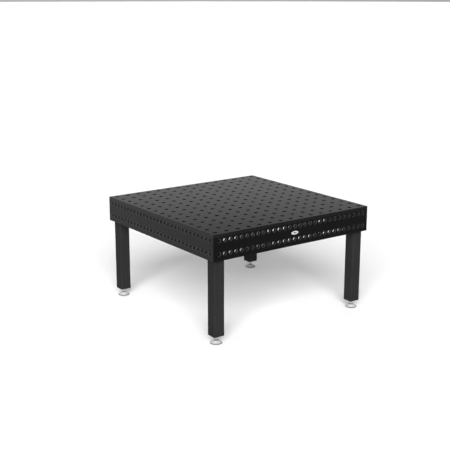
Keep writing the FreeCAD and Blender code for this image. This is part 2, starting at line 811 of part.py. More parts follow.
def make_badge():
    """An oval plate sunk in the front wall, held by two drive rivets."""
    turn = facing(0, -1)
    plate = new_body("badge_plate")
    seat = "-(table_side / 2 - badge_sunk)"
    place(plate, "0", seat, "table_top - badge_drop", turn)
    outline = new_sketch(plate, "outline")
    draw_ellipse(outline, "badge_wide", "badge_high")
    slab = pad(plate, outline, "badge_thick", "slab")
    face = value("badge_thick") - CLOSE
    round_edges(plate, slab, lambda start, end: min(start.z, end.z) > face, "badge_edge",
                "edge")
    holes = new_sketch(plate, "rivet_holes_sketch")
    for side in (-1, 1):
        draw_circle(holes, f"{side} * rivet_gap / 2", "0", "rivet_dia")
    pocket(plate, holes, "badge_thick", "rivet_holes", upward=True)

    rivets = []
    for name, side in (("left", -1), ("right", 1)):
        stem = doc.addObject("Part::Cylinder", f"badge_rivet_{name}_stem")
        bind(stem, "Radius", "rivet_dia / 2")
        bind(stem, "Height", "rivet_deep + badge_thick")
        head = doc.addObject("Part::Cylinder", f"badge_rivet_{name}_head")
        bind(head, "Radius", "rivet_head_dia / 2")
        bind(head, "Height", "rivet_head")
        place(head, z="rivet_deep + badge_thick")
        rivet = doc.addObject("Part::Fuse", f"badge_rivet_{name}")
        rivet.Base = stem
        rivet.Tool = head
        place(rivet, f"{side} * rivet_gap / 2", f"{seat} + rivet_deep",
              "table_top - badge_drop", turn)
        rivets.append(rivet)
    group = doc.addObject("Part::Compound", "badge_rivets")
    group.Label = "badge_rivets"
    group.Links = rivets
    nodes.append(group)


# ---------------------------------------------------------------- build and write

def check_document():
    """Stop if any object failed or any sub-part has no sound shape."""
    for thing in doc.Objects:
        bad = [word for word in thing.State if word in ("Invalid", "Error")]
        if bad:
            raise RuntimeError(f"{thing.Label}: {bad}")
    for node in nodes:
        if node.Shape.isNull() or not node.Shape.isValid():
            raise RuntimeError(f"{node.Label}: shape is not sound")


def write_parts():
    os.makedirs("parts", exist_ok=True)
    for node in nodes:
        node.Shape.exportStep(f"parts/{node.Label}.step")


make_top_plate()
make_walls()
make_ribs()
make_legs()
make_badge()
doc.recompute()
check_document()
write_parts()
print(f"{len(nodes)} sub-parts written")
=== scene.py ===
"""Looks of the welding table: fine meshes, steel, paint and chrome, on a pale studio floor.

Metres, in the part's own frame: +Z up, Z = 0 on the floor, -Y the front.
"""

import json
import math

import bmesh
import bpy
from mathutils import Matrix, Vector


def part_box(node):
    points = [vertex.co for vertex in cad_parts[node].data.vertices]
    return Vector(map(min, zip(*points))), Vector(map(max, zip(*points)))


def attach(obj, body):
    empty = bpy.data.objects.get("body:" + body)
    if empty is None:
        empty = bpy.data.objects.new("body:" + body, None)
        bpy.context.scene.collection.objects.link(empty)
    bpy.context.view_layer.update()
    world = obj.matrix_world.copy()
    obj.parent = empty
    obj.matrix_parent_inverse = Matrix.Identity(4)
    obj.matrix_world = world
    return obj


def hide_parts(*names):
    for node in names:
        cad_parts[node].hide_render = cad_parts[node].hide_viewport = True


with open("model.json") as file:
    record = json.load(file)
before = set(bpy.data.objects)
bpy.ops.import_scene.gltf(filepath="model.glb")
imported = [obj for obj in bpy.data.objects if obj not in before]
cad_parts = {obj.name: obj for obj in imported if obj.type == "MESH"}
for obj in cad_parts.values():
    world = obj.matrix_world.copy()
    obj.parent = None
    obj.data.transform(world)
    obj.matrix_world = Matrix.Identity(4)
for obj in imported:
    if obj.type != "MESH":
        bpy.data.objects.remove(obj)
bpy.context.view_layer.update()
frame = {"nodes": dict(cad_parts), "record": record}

MM = 0.001
MOUNTS = {mount["name"]: mount for mount in frame["record"]["mounts"]}
CORNERS = ("front_left", "front_right", "back_left", "back_right")

# Hole system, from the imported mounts
HOLE_RADIUS = MOUNTS["top_hole_centre"]["dims"]["r_mm"] * MM
TOP_PITCH = MOUNTS["top_holes_pitch"]["dims"]["spacing_x_mm"] * MM
TOP_REACH = MOUNTS["top_holes_outer"]["dims"]["spacing_x_mm"] * MM / 2
WALL_PITCH = 50 * MM
WALL_ROW_GAP = MOUNTS["front_holes"]["dims"]["spacing_y_mm"] * MM
WALL_ROWS_MIDDLE = MOUNTS["front_holes"]["pos_m"][2]
HOLE_BEVEL = 2.5 * MM
OUTER_BEVEL = 1.2 * MM
HOLE_STEPS = 40
BEVEL_STEPS = 3

# Frame under the top
RIB_THICK = 12 * MM
BEAD = 6 * MM
WALL_BEAD = 7 * MM
POST_OUT = TOP_REACH - TOP_PITCH / 2
POST_HALF = 30 * MM
POST_RUN = 44 * MM
FLANGE_THICK = 12 * MM
# The head plates' bolts, in millimetres in from each plate's outer corner
BOLT_INSETS = ((162, 23), (162, 92), (92, 162), (23, 162))

# A face whose normal lies this close to an axis is flat, and is shaded flat
FLAT_NORMAL = 0.99999
ARC_STEPS = 4
BADGE_STEPS = 96


# ---------------------------------------------------------------- materials

class Surface:
    """A procedural material: a Principled shader and the nodes that drive it."""

    def __init__(self, name, metallic=0.0, specular=0.5, ior=1.5, coat=0.0):
        self.material = bpy.data.materials.new(name)
        self.material.use_nodes = True
        self.tree = self.material.node_tree
        self.shader = self.tree.nodes["Principled BSDF"]
        self.shader.inputs["Metallic"].default_value = metallic
        self.shader.inputs["Specular IOR Level"].default_value = specular
        self.shader.inputs["IOR"].default_value = ior
        self.shader.inputs["Coat Weight"].default_value = coat
        place = self.tree.nodes.new("ShaderNodeTexCoord")
        self.place = place.outputs["Object"]
        self.bump_in = None

    def link(self, out, target):
        self.tree.links.new(out, target)

    def noise(self, scale, detail=3.0, rough=0.5, stretch=(1, 1, 1)):
        """Noise of `scale` features a metre, drawn out along an axis by a small stretch."""
        mapping = self.tree.nodes.new("ShaderNodeMapping")
        mapping.inputs["Scale"].default_value = stretch
        self.link(self.place, mapping.inputs["Vector"])
        texture = self.tree.nodes.new("ShaderNodeTexNoise")
        texture.inputs["Scale"].default_value = scale
        texture.inputs["Detail"].default_value = detail
        texture.inputs["Roughness"].default_value = rough
        self.link(mapping.outputs["Vector"], texture.inputs["Vector"])
        return texture.outputs["Fac"]

    def cells(self, scale):
        """Distance to the nearest of scattered points, for pits and spatter."""
        texture = self.tree.nodes.new("ShaderNodeTexVoronoi")
        texture.inputs["Scale"].default_value = scale
        self.link(self.place, texture.inputs["Vector"])
        return texture.outputs["Distance"]

    def ramp(self, source, stops):
        """Map 0..1 to colours; stops are (position, grey or (r, g, b))."""
        node = self.tree.nodes.new("ShaderNodeValToRGB")
        band = node.color_ramp
        while len(band.elements) < len(stops):
            band.elements.new(0.5)
        for element, (position, tone) in zip(band.elements, stops):
            element.position = position
            red, green, blue = tone if isinstance(tone, tuple) else (tone, tone, tone)
            element.color = (red, green, blue, 1)
        self.link(source, node.inputs["Fac"])
        return node.outputs["Color"]

    def spread(self, source, low, high):
        """Map noise, mostly 0.3 to 0.7, to low..high."""
        node = self.tree.nodes.new("ShaderNodeMapRange")
        node.inputs["From Min"].default_value = 0.3
        node.inputs["From Max"].default_value = 0.7
        node.inputs["To Min"].default_value = low
        node.inputs["To Max"].default_value = high
        self.link(source, node.inputs["Value"])
        return node.outputs["Result"]

    def blend(self, factor, first, second, mode="MIX"):
        node = self.tree.nodes.new("ShaderNodeMix")
        node.data_type = "RGBA"
        node.blend_type = mode
        for value, target in ((factor, node.inputs[0]), (first, node.inputs[6]),
                              (second, node.inputs[7])):
            if hasattr(value, "is_output"):
                self.link(value, target)
            else:
                target.default_value = value
        return node.outputs[2]

    def colour(self, source):
        self.link(source, self.shader.inputs["Base Color"])

    def roughness(self, source):
        self.link(source, self.shader.inputs["Roughness"])

    def bump(self, source, depth, strength=1.0):
        """Add a bump layer that is `depth` metres deep."""
        node = self.tree.nodes.new("ShaderNodeBump")
        node.inputs["Strength"].default_value = strength
        node.inputs["Distance"].default_value = depth
        self.link(source, node.inputs["Height"])
        if self.bump_in:
            self.link(self.bump_in, node.inputs["Normal"])
        self.bump_in = node.outputs["Normal"]
        self.link(self.bump_in, self.shader.inputs["Normal"])


def grey(value, warm=0.0):
    return (value * (1 + warm), value, value * (1 - warm))


def plate_steel(name, tone, rough, grain, ior=1.45):
    """Nitrided plate: nearly black, cloudy, finely ground along one direction."""
    surface = Surface(name, ior=ior)
    clouds = surface.noise(3.5, 5, 0.6)
    tint = surface.ramp(clouds, [(0.3, grey(tone * 0.85, -0.01)), (0.7, grey(tone * 1.15, 0.01))])
    lines = surface.noise(260, 4, 0.65, grain)
    streaks = surface.ramp(lines, [(0.25, 0.8), (0.75, 1.15)])
    surface.colour(surface.blend(1.0, tint, streaks, "MULTIPLY"))
    surface.roughness(surface.spread(surface.noise(60, 5, 0.6), rough - 0.02, rough + 0.02))
    surface.bump(lines, 0.00001, 0.4)
    surface.bump(surface.noise(420, 3), 0.00002, 0.3)
    return surface.material


def mill_steel(name, tone):
    """Hot rolled bar with its mill scale: mottled and dull."""
    surface = Surface(name, metallic=0.25, specular=0.3)
    scale = surface.noise(18, 8, 0.7)
    base = surface.ramp(scale, [(0.3, grey(tone * 0.7, 0.02)), (0.52, grey(tone, 0.0)),
                                (0.75, grey(tone * 1.35, 0.04))])
    flakes = surface.ramp(surface.cells(90), [(0.0, 0.75), (0.35, 1.0)])
    surface.colour(surface.blend(1.0, base, flakes, "MULTIPLY"))
    surface.roughness(surface.spread(scale, 0.42, 0.62))
    surface.bump(scale, 0.0002, 0.4)
    surface.bump(surface.noise(260, 4), 0.00008, 0.4)
    return surface.material


def powder_coat(name, tone):
    """Fine-textured satin paint with orange peel and a few dusty clouds."""
    surface = Surface(name, ior=1.05)
    clouds = surface.noise(5, 4, 0.55)
    specks = surface.noise(700, 2)
    base = surface.ramp(clouds, [(0.3, grey(tone * 0.92, -0.01)), (0.7, grey(tone * 1.1, 0.01))])
    speckle = surface.ramp(specks, [(0.3, 0.88), (0.7, 1.1)])
    surface.colour(surface.blend(1.0, base, speckle, "MULTIPLY"))
    surface.roughness(surface.spread(clouds, 0.42, 0.55))
    surface.bump(surface.noise(350, 2), 0.00012, 0.5)
    surface.bump(specks, 0.00005, 0.4)
    return surface.material


def bright_steel(name, tone, rough, warm=0.0, scale=500.0, metallic=1.0):
    """Plated or turned steel: bright, with faint stains and fine turning lines."""
    surface = Surface(name, metallic=metallic)
    stains = surface.noise(40, 5, 0.6)
    tint = surface.ramp(stains, [(0.3, grey(tone * 0.86, warm)), (0.7, grey(tone, 0.0))])
    surface.colour(tint)
    surface.roughness(surface.spread(surface.noise(90, 4), rough * 0.75, rough * 1.3))
    surface.bump(surface.noise(scale, 3, 0.6, (1, 1, 6)), 0.00002, 0.35)
    return surface.material


def rubber(name, tone):
    """Black rubber: matte, grainy, a little grey with dust."""
    surface = Surface(name, specular=0.25)
    dust = surface.noise(35, 6, 0.65)
    surface.colour(surface.ramp(dust, [(0.35, grey(tone, 0.02)), (0.75, grey(tone * 2.2, 0.05))]))
    surface.roughness(surface.spread(dust, 0.72, 0.9))
    surface.bump(surface.noise(1200, 3), 0.0001, 0.5)
    return surface.material


def weld_metal(name):
    """A weld bead: rippled bright steel with straw and blue heat tints."""
    surface = Surface(name, metallic=0.85)
    heat = surface.noise(45, 4, 0.6)
    surface.colour(surface.ramp(heat, [(0.3, (0.10, 0.11, 0.15)), (0.5, (0.19, 0.18, 0.17)),
                                       (0.7, (0.24, 0.19, 0.13))]))
    surface.roughness(surface.spread(surface.noise(200, 4), 0.3, 0.5))
    surface.bump(surface.noise(900, 3), 0.00015, 0.5)
    return surface.material


def enamel(name, tone):
    """Baked enamel, as on the badge's sunk field."""
    surface = Surface(name, specular=0.5, coat=0.4)
    surface.colour(surface.ramp(surface.noise(300, 3), [(0.3, grey(tone * 0.9)),
                                                        (0.7, grey(tone * 1.1))]))
    surface.roughness(surface.spread(surface.noise(150, 3), 0.25, 0.35))
    surface.bump(surface.noise(800, 2), 0.00002, 0.3)
    return surface.material


TOP_STEEL = plate_steel("top_steel", 0.006, 0.15, (0.03, 1, 1))
# A darker, duller copy of the plate steel for the top's bores and mouths: painted shade in the
# holes
TOP_BORE_PAINTED_SHADE = plate_steel("top_bore_painted_shade", 0.004, 0.3, (1, 1, 0.1), ior=1.1)
# A duller, less reflective copy of the plate steel for the walls' bores: painted shade in the
# holes
WALL_BORE_PAINTED_SHADE = plate_steel("wall_bore_painted_shade", 0.014, 0.36, (0.1, 0.1, 1), ior=1.3)
# A bright copy of the steel for the walls' hole mouths: a painted sheen, standing in for the
# floor's light reflected in them
MOUTH_PAINTED_SHEEN = bright_steel("mouth_painted_sheen", 0.2, 0.3, 0.0, 300.0, metallic=0.85)
WALL_STEEL = plate_steel("wall_steel", 0.002, 0.33, (0.03, 0.03, 1))
RIB_STEEL = mill_steel("rib_steel", 0.38)
LEG_PAINT = powder_coat("leg_paint", 0.021)
PLATE_PAINT = powder_coat("plate_paint", 0.03)
ZINC = bright_steel("zinc", 0.8, 0.3, 0.02, metallic=0.5)
BALL_STEEL = bright_steel("ball_steel", 0.3, 0.2)
# Two copies of the disc's chrome: the bright one is a painted highlight on the cone, the dull one
# is painted shade on the rim and neck
CHROME_PAINTED_HIGHLIGHT = bright_steel("chrome", 0.9, 0.2, 0.0, 900.0, metallic=0.4)
RIM_PAINTED_SHADE = bright_steel("rim_painted_shade", 0.3, 0.25, 0.0, 900.0, metallic=0.6)
BADGE_METAL = bright_steel("badge_metal", 0.2, 0.3)
BADGE_WHITE = enamel("badge_white", 0.5)
BADGE_DARK = enamel("badge_dark", 0.03)
RUBBER = rubber("rubber", 0.02)
WELD = weld_metal("weld_metal")


# ---------------------------------------------------------------- mesh helpers

def add_piece(name, bm, materials, body, nodes=(), smooth=40):
    """Make a mesh a piece: it rides on a body, and stands for the CAD nodes given."""
    bmesh.ops.recalc_face_normals(bm, faces=bm.faces)
    mesh = bpy.data.meshes.new(name)
    bm.to_mesh(mesh)
    bm.free()
    for material in materials:
        mesh.materials.append(material)
    mesh.set_sharp_from_angle(angle=math.radians(smooth))
    for face in mesh.polygons:
        face.use_smooth = max(abs(part) for part in face.normal) < FLAT_NORMAL
    piece = bpy.data.objects.new(name, mesh)
    bpy.context.scene.collection.objects.link(piece)
    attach(piece, body)
    if nodes:
        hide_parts(*nodes)
    return piece


def box_of(node):
    """Low and high corners of a CAD node's box, as vectors."""
    low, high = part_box(node)
    return Vector(low), Vector(high)


def steps(first, pitch, count):
    return [first + pitch * index for index in range(count)]


def cell_edge(x0, x1, y0, y1, count):
    """Points round a rectangle, anticlockwise from its +X +Y corner, evenly on each side."""
    corners = [(x1, y1), (x0, y1), (x0, y0), (x1, y0)]
    points = []
    for side in range(4):
        ax, ay = corners[side]
        bx, by = corners[(side + 1) % 4]
        for index in range(count // 4):
            part = index / (count // 4)
            points.append((ax + (bx - ax) * part, ay + (by - ay) * part))
    return points


def perforated_plate(xs, ys, holes_x, holes_y, thick, keep):
    """A plate from z = 0 to thick, with one hole in each cell of the grid xs by ys.

    The mouths of the holes are rounded, and so is each outer edge that keep(middle) picks.
    Material 1 is for the bores, and 2 for their mouths.
    """
    bm = bmesh.new()
    count = HOLE_STEPS
    for column, hole_x in enumerate(holes_x):
        for row, hole_y in enumerate(holes_y):
            cell = xs[column], xs[column + 1], ys[row], ys[row + 1]
            outer = cell_edge(*cell, count)
            loops = []
            for height in (0, thick):
                rim = []
                for index in range(count):
                    angle = math.radians(45) + math.tau * index / count
                    rim.append(bm.verts.new((hole_x + HOLE_RADIUS * math.cos(angle),
                                             hole_y + HOLE_RADIUS * math.sin(angle), height)))
                loops.append((rim, [bm.verts.new((x, y, height)) for x, y in outer]))
            (low_rim, low_edge), (top_rim, top_edge) = loops
            sides = (row + 1 == len(holes_y), column == 0, row == 0, column + 1 == len(holes_x))
            for index in range(count):
                after = (index + 1) % count
                bm.faces.new((top_rim[index], top_edge[index], top_edge[after], top_rim[after]))
                bm.faces.new((low_rim[after], low_edge[after], low_edge[index], low_rim[index]))
                bore = bm.faces.new((low_rim[index], top_rim[index], top_rim[after],
                                     low_rim[after]))
                bore.material_index = 1
                if sides[index * 4 // count]:
                    bm.faces.new((low_edge[after], top_edge[after], top_edge[index],
                                  low_edge[index]))
    bmesh.ops.remove_doubles(bm, verts=bm.verts, dist=1e-6)
    sharp = [edge for edge in bm.edges if edge.calc_face_angle(0) > math.radians(60)]
    mouths = []
    rims = []
    for edge in sharp:
        middle = (edge.verts[0].co + edge.verts[1].co) / 2
        outside = (min(abs(middle.x - xs[0]), abs(middle.x - xs[-1])) < 1e-6
                   or min(abs(middle.y - ys[0]), abs(middle.y - ys[-1])) < 1e-6)
        if not outside:
            mouths.append(edge)
        elif keep(middle):
            rims.append(edge)
    for edges, width, material in ((mouths, HOLE_BEVEL, 2), (rims, OUTER_BEVEL, 0)):
        bmesh.ops.bevel(bm, geom=edges, offset=width, offset_type="OFFSET",
                        segments=BEVEL_STEPS, profile=0.5, affect="EDGES", clamp_overlap=True,
                        material=material)
    return bm


def soften(outline, closed=False):
    """Round the corners of an outline of (radius, height, rounding) with short arcs."""
    points = []
    count = len(outline)
    for index, (x, y, rounding) in enumerate(outline):
        here = Vector((x, y))
        if rounding == 0 or (not closed and index in (0, count - 1)):
            points.append(here)
            continue
        before = Vector(outline[index - 1][:2]) - here
        after = Vector(outline[(index + 1) % count][:2]) - here
        half = before.angle(after) / 2
        reach = rounding / math.tan(half)
        centre = here + (before.normalized() + after.normalized()).normalized() * (
            rounding / math.sin(half))
        start = here + before.normalized() * reach - centre
        stop = here + after.normalized() * reach - centre
        turn = start.angle_signed(stop)
        for step in range(ARC_STEPS + 1):
            spot = start.copy()
            spot.rotate(Matrix.Rotation(-turn * step / ARC_STEPS, 2))
            points.append(centre + spot)
    return points


def lathe(bm, outline, spot, count=72, closed=False):
    """Turn an outline of (radius, height) points about the vertical line through spot."""
    rings = []
    for radius, height in outline:
        if radius < 1e-6:
            rings.append([bm.verts.new((spot[0], spot[1], spot[2] + height))] * count)
            continue
        ring = []
        for index in range(count):
            angle = math.tau * index / count
            ring.append(bm.verts.new((spot[0] + radius * math.cos(angle),
                                      spot[1] + radius * math.sin(angle), spot[2] + height)))
        rings.append(ring)
    pairs = list(zip(rings, rings[1:]))
    if closed:
        pairs.append((rings[-1], rings[0]))
    for low, high in pairs:
        for index in range(count):
            after = (index + 1) % count
            corners = []
            for vert in (low[index], low[after], high[after], high[index]):
                if vert not in corners:
                    corners.append(vert)
            if len(corners) > 2:
                bm.faces.new(corners)


def ring_mesh(bm, rings):
    """Join rings of equal length into a closed band, first to last and back to first."""
    count = len(rings[0])
    for low, high in zip(rings, rings[1:] + rings[:1]):
        for index in range(count):
            after = (index + 1) % count
            bm.faces.new((low[index], low[after], high[after], high[index]))


# ---------------------------------------------------------------- table box

def make_top():
    (x0, y0, z0), (x1, y1, z1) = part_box("top_plate")
    count = round(2 * TOP_REACH / TOP_PITCH) + 1
    holes = steps(-TOP_REACH, TOP_PITCH, count)
    cells = steps(x0, TOP_PITCH, count + 1)
    thick = z1 - z0
    lower = 0.001

    def keep(middle):
        return middle.z > lower

    bm = perforated_plate(cells, cells, holes, holes, thick, keep)
    bmesh.ops.translate(bm, verts=bm.verts, vec=(0, 0, z0))
    # Bores and mouths take the darker copy of the steel, painted shade in the holes
    add_piece("top_plate_fine", bm, [TOP_STEEL, TOP_BORE_PAINTED_SHADE, TOP_BORE_PAINTED_SHADE], "table",
              ["top_plate"])


def wall_bmesh(node, out):
    """A side wall's mesh, built flat and stood up so that its face looks along out."""
    low, high = box_of(node)
    along = 0 if abs(out.y) > 0.5 else 1
    half = (high[along] - low[along]) / 2
    thick = min(high.x - low.x, high.y - low.y)
    reach = TOP_REACH
    holes = steps(-reach, WALL_PITCH, round(2 * reach / WALL_PITCH) + 1)
    cells = [-half] + [spot + WALL_PITCH / 2 for spot in holes[:-1]] + [half]
    rows = [WALL_ROWS_MIDDLE - WALL_ROW_GAP / 2, WALL_ROWS_MIDDLE + WALL_ROW_GAP / 2]
    heights = [low.z, WALL_ROWS_MIDDLE, high.z]
    full_length = half > reach + WALL_PITCH / 2 + 0.001

    def keep(middle):
        outer = middle.z > thick - 1e-4
        foot = middle.y < low.z + 1e-4
        end = full_length and abs(middle.x) > half - 1e-4
        return outer and (foot or end)

    bm = perforated_plate(cells, heights, holes, rows, thick, keep)
    stand = Matrix((
        (-out.y, 0, out.x, 0),
        (out.x, 0, out.y, 0),
        (0, 1, 0, 0),
        (0, 0, 0, 1),
    ))
    face = min(abs(low[1 - along]), abs(high[1 - along]))
    bmesh.ops.transform(bm, matrix=Matrix.Translation(out * face) @ stand, verts=bm.verts)
    return bm


def cut_badge_seat(piece):
    """Sink an oval seat for the badge in the front wall."""
    low, high = box_of("badge_plate")
    gap = 0.25 * MM
    bm = bmesh.new()
    middle = (low + high) / 2
    rings = []
    for y in (high.y, low.y - 5 * MM):
        ring = []
        for index in range(BADGE_STEPS):
            angle = math.tau * index / BADGE_STEPS
            ring.append(bm.verts.new((middle.x + ((high.x - low.x) / 2 + gap) * math.cos(angle), y,
                                      middle.z + ((high.z - low.z) / 2 + gap) * math.sin(angle))))
        rings.append(ring)
    for index in range(BADGE_STEPS):
        after = (index + 1) % BADGE_STEPS
        bm.faces.new((rings[0][index], rings[0][after], rings[1][after], rings[1][index]))
    bm.faces.new(rings[0])
    bm.faces.new(list(reversed(rings[1])))
    bmesh.ops.recalc_face_normals(bm, faces=bm.faces)
    mesh = bpy.data.meshes.new("badge_cutter")
    bm.to_mesh(mesh)
    bm.free()
    cutter = bpy.data.objects.new("badge_cutter", mesh)
    bpy.context.scene.collection.objects.link(cutter)
    cut = piece.modifiers.new("seat", "BOOLEAN")
    cut.object = cutter
    cut.operation = "DIFFERENCE"
    cut.solver = "EXACT"
    bpy.context.view_layer.update()
    shown = piece.evaluated_get(bpy.context.evaluated_depsgraph_get())
    carved = bpy.data.meshes.new_from_object(shown)
    piece.modifiers.clear()
    piece.data = carved
    bpy.data.objects.remove(cutter)


def make_walls():
    sides = {
        "front": Vector((0, -1, 0)),
        "back": Vector((0, 1, 0)),
        "left": Vector((-1, 0, 0)),
        "right": Vector((1, 0, 0)),
    }
    for side, out in sides.items():
        node = f"side_wall_{side}"
        bm = wall_bmesh(node, out)
        # The walls' bores take a duller steel, painted shade, and their mouths a bright one, a
        # painted sheen
        piece = add_piece(f"{node}_fine", bm, [WALL_STEEL, WALL_BORE_PAINTED_SHADE, MOUTH_PAINTED_SHEEN], "table",
                          [node])
        if side == "front":
            cut_badge_seat(piece)


# ---------------------------------------------------------------- ribs and welds

def extrude(node, outline, along, start, stop):
    """Run a closed outline of (across, up) along X or Y, as the rib of that name."""
    bm = bmesh.new()
    rings = []
    for reach in (start, stop):
        if along == "x":
            rings.append([bm.verts.new((reach, across, up)) for across, up in outline])
        else:
            rings.append([bm.verts.new((across, reach, up)) for across, up in outline])
    for index in range(len(outline)):
        after = (index + 1) % len(outline)
        bm.faces.new((rings[0][index], rings[0][after], rings[1][after], rings[1][index]))
    bm.faces.new(rings[0])
    bm.faces.new(rings[1])
    add_piece(f"{node}_fine", bm, [RIB_STEEL], "table", [node])


def make_ribs():
    ease = 1 * MM
    for side in ("left", "right"):
        node = f"long_rib_{side}"
        low, high = box_of(node)
        outline = soften([
            (low.x, low.z, ease),
            (high.x, low.z, ease),
            (high.x, low.z + RIB_THICK, 5 * MM),
            (low.x + RIB_THICK, low.z + RIB_THICK, 13 * MM),
            (low.x + RIB_THICK, high.z, 0),
            (low.x, high.z, 0),
        ], closed=True)
        extrude(node, outline, "y", low.y, high.y)
    for row in ("front", "back"):
        for part in ("left", "middle", "right"):
            node = f"cross_rib_{row}_{part}"
            low, high = box_of(node)
            outline = soften([
                (low.y, low.z, ease),
                (high.y, low.z, ease),
                (high.y, high.z, 0),
                (low.y, high.z, 0),
            ], closed=True)
            extrude(node, outline, "x", low.x, high.x)


def add_bead(bm, start, along, across, down, length, size):
    """A rippled fillet weld that runs from start, in the corner between across and down."""
    pitch = 2.6 * MM
    count = round(length / pitch * 3)
    arc = 5
    rings = []
    for step in range(count + 1):
        gone = length * step / count
        end = min(1, min(gone, length - gone) / (4 * MM))
        grown = size * (0.5 + 0.5 * math.sqrt(end * (2 - end)))
        centre = start + along * gone
        ring = [bm.verts.new(centre - (across + down) * 0.2 * MM)]
        for index in range(arc + 1):
            part = index / arc
            bulge = math.sin(math.pi * part)
            ripple = math.sin(math.tau * (gone / pitch + 0.4 * bulge))
            reach = grown * (1 + 0.05 * ripple)
            lift = 0.17 * bulge * reach
            ring.append(bm.verts.new(centre + across * (reach * (1 - part) + lift)
                                     + down * (reach * part + lift)))
        rings.append(ring)
    for low, high in zip(rings, rings[1:]):
        for index in range(arc + 2):
            after = (index + 1) % (arc + 2)
            bm.faces.new((low[index], low[after], high[after], high[index]))
    bm.faces.new(rings[0])
    bm.faces.new(rings[-1])


def make_welds():
    """Stitches of the ribs and walls under the top, and the beads of the leg heads."""
    x, y, down = Vector((1, 0, 0)), Vector((0, 1, 0)), Vector((0, 0, -1))
    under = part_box("top_plate")[0][2]
    stitch = 40 * MM
    upright = 60 * MM
    drop = 35 * MM
    inside = -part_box("side_wall_left")[0][0] - (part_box("top_plate")[1][2] - under)
    lines = [spot * MM for spot in (-640, -480, -320, -160, 0, 160, 320, 480, 640)]
    bm = bmesh.new()

    def sides(low, high, axis):
        return ((low[axis], -1), (low[axis] + RIB_THICK, 1))

    for side in ("left", "right"):
        low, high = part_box(f"long_rib_{side}")
        for face, sign in sides(low, high, 0):
            for line in lines:
                spot = Vector((face, line - stitch / 2, under))
                add_bead(bm, spot, y, x * sign, down, stitch, BEAD)
            for end in (-1, 1):
                spot = Vector((face, end * inside, under - drop))
                add_bead(bm, spot, down, x * sign, y * -end, upright, BEAD)
    for row in ("front", "back"):
        for part in ("left", "middle", "right"):
            low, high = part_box(f"cross_rib_{row}_{part}")
            for face, sign in sides(low, high, 1):
                for line in lines:
                    if low[0] + stitch < line < high[0] - stitch:
                        spot = Vector((line - stitch / 2, face, under))
                        add_bead(bm, spot, x, y * sign, down, stitch, BEAD)
                for end, inward in ((low[0], 1), (high[0], -1)):
                    spot = Vector((end, face, under - drop))
                    add_bead(bm, spot, down, y * sign, x * inward, upright, BEAD)
    add_piece("rib_welds", bm, [WELD], "table", smooth=60)

    bm = bmesh.new()
    for line in lines[1:-1]:
        for end in (-1, 1):
            spot = Vector((line - stitch / 2, end * inside, under))
            add_bead(bm, spot, x, y * -end, down, stitch, WALL_BEAD)
            spot = Vector((end * inside, line - stitch / 2, under))
            add_bead(bm, spot, y, x * -end, down, stitch, WALL_BEAD)
    add_piece("wall_welds", bm, [WELD], "table", smooth=60)

    bm = bmesh.new()
    for corner in CORNERS:
        low, high = box_of(f"leg_tube_{corner}")
        middle = (low + high) / 2
        half = (high.x - low.x) / 2
        run = 2 * half - 20 * MM
        for across, along in ((x, y), (y, x)):
            inward = across if middle.dot(across) < 0 else -across
            spot = middle + inward * half - along * run / 2
            spot.z = high.z
            add_bead(bm, spot, along, inward, down, run, BEAD)
        post_low, post_high = box_of(f"leg_post_{corner}")
        post = Vector((math.copysign(POST_OUT, middle.x), math.copysign(POST_OUT, middle.y), 0))
        for outward, along in ((x, y), (y, x), (-x, y), (-y, x)):
            spot = post + outward * POST_HALF - along * POST_RUN / 2
            spot.z = post_high.z
            add_bead(bm, spot, along, outward, down, POST_RUN, BEAD)
            spot.z = post_low.z + FLANGE_THICK
            add_bead(bm, spot, along, outward, -down, POST_RUN, BEAD)
    add_piece("leg_welds", bm, [PLATE_PAINT], "table", smooth=60)


# ---------------------------------------------------------------- legs

def rounded_square(half, corner, height, centre, count=8):
    """Points round a square with rounded corners."""
    points = []
    for quarter in range(4):
        turn = math.radians(90 * quarter)
        middle = half - corner
        mid_x = middle * (math.cos(turn) - math.sin(turn))
        mid_y = middle * (math.sin(turn) + math.cos(turn))
        for step in range(count + 1):
            angle = turn + math.radians(90) * step / count
            points.append((centre.x + mid_x + corner * math.cos(angle),
                           centre.y + mid_y + corner * math.sin(angle), height))
    return points


def make_leg_tube(corner):
    node = f"leg_tube_{corner}"
    low, high = box_of(node)
    centre = (low + high) / 2
    half = (high.x - low.x) / 2
    wall = 5 * MM
    outer_round = 8 * MM
    inner_round = outer_round - wall
    ease = 0.7 * MM
    bm = bmesh.new()
    loops = [
        (half, outer_round, low.z + ease),
        (half, outer_round, high.z),
        (half - wall, inner_round, high.z),
        (half - wall, inner_round, low.z + ease),
        (half - wall + ease, inner_round + ease, low.z),
        (half - ease, outer_round - ease, low.z),
    ]
    rings = []
    for reach, radius, height in loops:
        spots = rounded_square(reach, radius, height, centre)
        rings.append([bm.verts.new(spot) for spot in spots])
    ring_mesh(bm, rings)
    add_piece(f"{node}_fine", bm, [LEG_PAINT], "table", [node])


